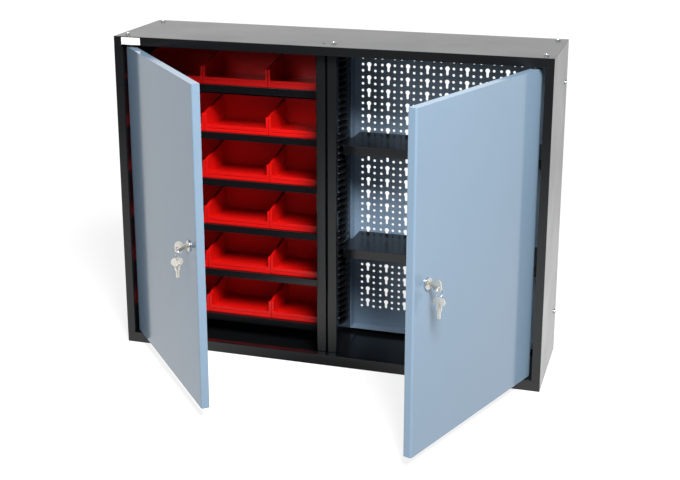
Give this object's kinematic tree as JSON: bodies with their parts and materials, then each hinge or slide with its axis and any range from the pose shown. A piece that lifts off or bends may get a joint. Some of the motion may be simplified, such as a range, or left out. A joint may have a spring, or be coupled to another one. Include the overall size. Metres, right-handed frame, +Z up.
{
  "type": "wall tool cabinet",
  "caption": "Shallow folded-steel wall cabinet with two hinged locking doors, shelves of pull-out open bins on one side and a perforated back with adjustable shelves on the other.",
  "frame": {"origin": "centre of the underside of the carcass", "axes": "X is the width, +X to the viewer's right; -Y is the front; +Z is up"},
  "size_m": [0.8056, 0.5374, 0.6028],
  "materials": {
    "powder_black": "semi-gloss powder coat",
    "door_blue": "satin paint",
    "back_blue": "fine textured powder coat",
    "bin_red": "moulded",
    "zinc": "zinc plated",
    "nickel_brass": "nickel plated",
    "nylon": "black",
    "label_white": "paper label"
  },
  "bodies": {
    "carcass": {"top_panel": "powder_black", "bottom_panel": "powder_black", "left_side_panel": "powder_black", "right_side_panel": "powder_black", "left_lining": "powder_black", "right_lining": "powder_black", "left_middle_wall": "powder_black", "right_middle_wall": "powder_black", "left_back_panel": "back_blue", "right_back_panel": "back_blue", "bin_shelf_1": "powder_black", "bin_shelf_2": "powder_black", "bin_shelf_3": "powder_black", "bin_shelf_4": "powder_black", "bin_shelf_5": "powder_black", "bin_shelf_6": "powder_black", "tool_shelf_1": "powder_black", "tool_shelf_2": "powder_black", "frame_bolts": "zinc", "frame_nuts": "zinc", "hinge_pins": "zinc", "hinge_washers": "nylon", "label_plate": "label_white"},
    "left_door": {"left_door_panel": "door_blue", "left_lock_barrel": "zinc", "left_lock_nut": "zinc"},
    "left_lock": {"left_lock_core": "nickel_brass", "left_lock_cam": "zinc", "left_cam_screw": "zinc", "left_key": "nickel_brass"},
    "left_ring": {"left_key_ring": "zinc"},
    "left_loose_key": {"left_spare_key": "nickel_brass"},
    "right_door": {"right_door_panel": "door_blue", "right_lock_barrel": "zinc", "right_lock_nut": "zinc"},
    "right_lock": {"right_lock_core": "nickel_brass", "right_lock_cam": "zinc", "right_cam_screw": "zinc", "right_key": "nickel_brass"},
    "right_ring": {"right_key_ring": "zinc"},
    "right_loose_key": {"right_spare_key": "nickel_brass"},
    "bin_1_left_slide": {"bin_1_left": "bin_red"},
    "bin_1_middle_slide": {"bin_1_middle": "bin_red"},
    "bin_1_right_slide": {"bin_1_right": "bin_red"},
    "bin_2_left_slide": {"bin_2_left": "bin_red"},
    "bin_2_middle_slide": {"bin_2_middle": "bin_red"},
    "bin_2_right_slide": {"bin_2_right": "bin_red"},
    "bin_3_left_slide": {"bin_3_left": "bin_red"},
    "bin_3_middle_slide": {"bin_3_middle": "bin_red"},
    "bin_3_right_slide": {"bin_3_right": "bin_red"},
    "bin_4_left_slide": {"bin_4_left": "bin_red"},
    "bin_4_middle_slide": {"bin_4_middle": "bin_red"},
    "bin_4_right_slide": {"bin_4_right": "bin_red"},
    "bin_5_left_slide": {"bin_5_left": "bin_red"},
    "bin_5_middle_slide": {"bin_5_middle": "bin_red"},
    "bin_5_right_slide": {"bin_5_right": "bin_red"},
    "bin_6_left_slide": {"bin_6_left": "bin_red"},
    "bin_6_middle_slide": {"bin_6_middle": "bin_red"},
    "bin_6_right_slide": {"bin_6_right": "bin_red"}
  },
  "joints": [
    {"name": "left_door_hinge", "type": "hinge", "parent": "carcass", "child": "left_door", "pos_m": [-0.3675, -0.093, 0], "axis": [0, 0, -1], "range_deg": [-48.8, 71.2]},
    {"name": "left_lock_turn", "type": "hinge", "parent": "left_door", "child": "left_lock", "pos_m": [-0.15672, -0.3444, 0.301], "axis": [0.7524, 0.6587, 0], "range_deg": [0, 90]},
    {"name": "left_ring_swing", "type": "hinge", "parent": "left_lock", "child": "left_ring", "pos_m": [-0.17297, -0.35863, 0.301], "axis": [-0.6587, 0.7524, 0], "range_deg": [-15, 90]},
    {"name": "left_loose_key_swing", "type": "hinge", "parent": "left_ring", "child": "left_loose_key", "pos_m": [-0.17297, -0.35863, 0.2804], "axis": [-0.6587, 0.7524, 0], "range_deg": [-5, 30]},
    {"name": "right_door_hinge", "type": "hinge", "parent": "carcass", "child": "right_door", "pos_m": [0.3675, -0.093, 0], "axis": [0, 0, 1], "range_deg": [-69.5, 50.5]},
    {"name": "right_lock_turn", "type": "hinge", "parent": "right_door", "child": "right_lock", "pos_m": [0.25919, -0.40268, 0.301], "axis": [0.9367, -0.3502, 0], "range_deg": [0, 90]},
    {"name": "right_ring_swing", "type": "hinge", "parent": "right_lock", "child": "right_ring", "pos_m": [0.27942, -0.41024, 0.301], "axis": [-0.3502, -0.9367, 0], "range_deg": [-15, 90]},
    {"name": "right_loose_key_swing", "type": "hinge", "parent": "right_ring", "child": "right_loose_key", "pos_m": [0.27942, -0.41024, 0.2804], "axis": [-0.3502, -0.9367, 0], "range_deg": [-5, 30]},
    {"name": "bin_1_left_pull", "type": "slide", "parent": "carcass", "child": "bin_1_left_slide", "axis": [0, -1, 0], "range_m": [0, 0.05]},
    {"name": "bin_1_middle_pull", "type": "slide", "parent": "carcass", "child": "bin_1_middle_slide", "axis": [0, -1, 0], "range_m": [0, 0.1]},
    {"name": "bin_1_right_pull", "type": "slide", "parent": "carcass", "child": "bin_1_right_slide", "axis": [0, -1, 0], "range_m": [0, 0.05]},
    {"name": "bin_2_left_pull", "type": "slide", "parent": "carcass", "child": "bin_2_left_slide", "axis": [0, -1, 0], "range_m": [0, 0.05]},
    {"name": "bin_2_middle_pull", "type": "slide", "parent": "carcass", "child": "bin_2_middle_slide", "axis": [0, -1, 0], "range_m": [0, 0.1]},
    {"name": "bin_2_right_pull", "type": "slide", "parent": "carcass", "child": "bin_2_right_slide", "axis": [0, -1, 0], "range_m": [0, 0.05]},
    {"name": "bin_3_left_pull", "type": "slide", "parent": "carcass", "child": "bin_3_left_slide", "axis": [0, -1, 0], "range_m": [0, 0.05]},
    {"name": "bin_3_middle_pull", "type": "slide", "parent": "carcass", "child": "bin_3_middle_slide", "axis": [0, -1, 0], "range_m": [0, 0.1]},
    {"name": "bin_3_right_pull", "type": "slide", "parent": "carcass", "child": "bin_3_right_slide", "axis": [0, -1, 0], "range_m": [0, 0.05]},
    {"name": "bin_4_left_pull", "type": "slide", "parent": "carcass", "child": "bin_4_left_slide", "axis": [0, -1, 0], "range_m": [0, 0.05]},
    {"name": "bin_4_middle_pull", "type": "slide", "parent": "carcass", "child": "bin_4_middle_slide", "axis": [0, -1, 0], "range_m": [0, 0.1]},
    {"name": "bin_4_right_pull", "type": "slide", "parent": "carcass", "child": "bin_4_right_slide", "axis": [0, -1, 0], "range_m": [0, 0.05]},
    {"name": "bin_5_left_pull", "type": "slide", "parent": "carcass", "child": "bin_5_left_slide", "axis": [0, -1, 0], "range_m": [0, 0.05]},
    {"name": "bin_5_middle_pull", "type": "slide", "parent": "carcass", "child": "bin_5_middle_slide", "axis": [0, -1, 0], "range_m": [0, 0.1]},
    {"name": "bin_5_right_pull", "type": "slide", "parent": "carcass", "child": "bin_5_right_slide", "axis": [0, -1, 0], "range_m": [0, 0.05]},
    {"name": "bin_6_left_pull", "type": "slide", "parent": "carcass", "child": "bin_6_left_slide", "axis": [0, -1, 0], "range_m": [0, 0.05]},
    {"name": "bin_6_middle_pull", "type": "slide", "parent": "carcass", "child": "bin_6_middle_slide", "axis": [0, -1, 0], "range_m": [0, 0.1]},
    {"name": "bin_6_right_pull", "type": "slide", "parent": "carcass", "child": "bin_6_right_slide", "axis": [0, -1, 0], "range_m": [0, 0.05]}
  ]
}
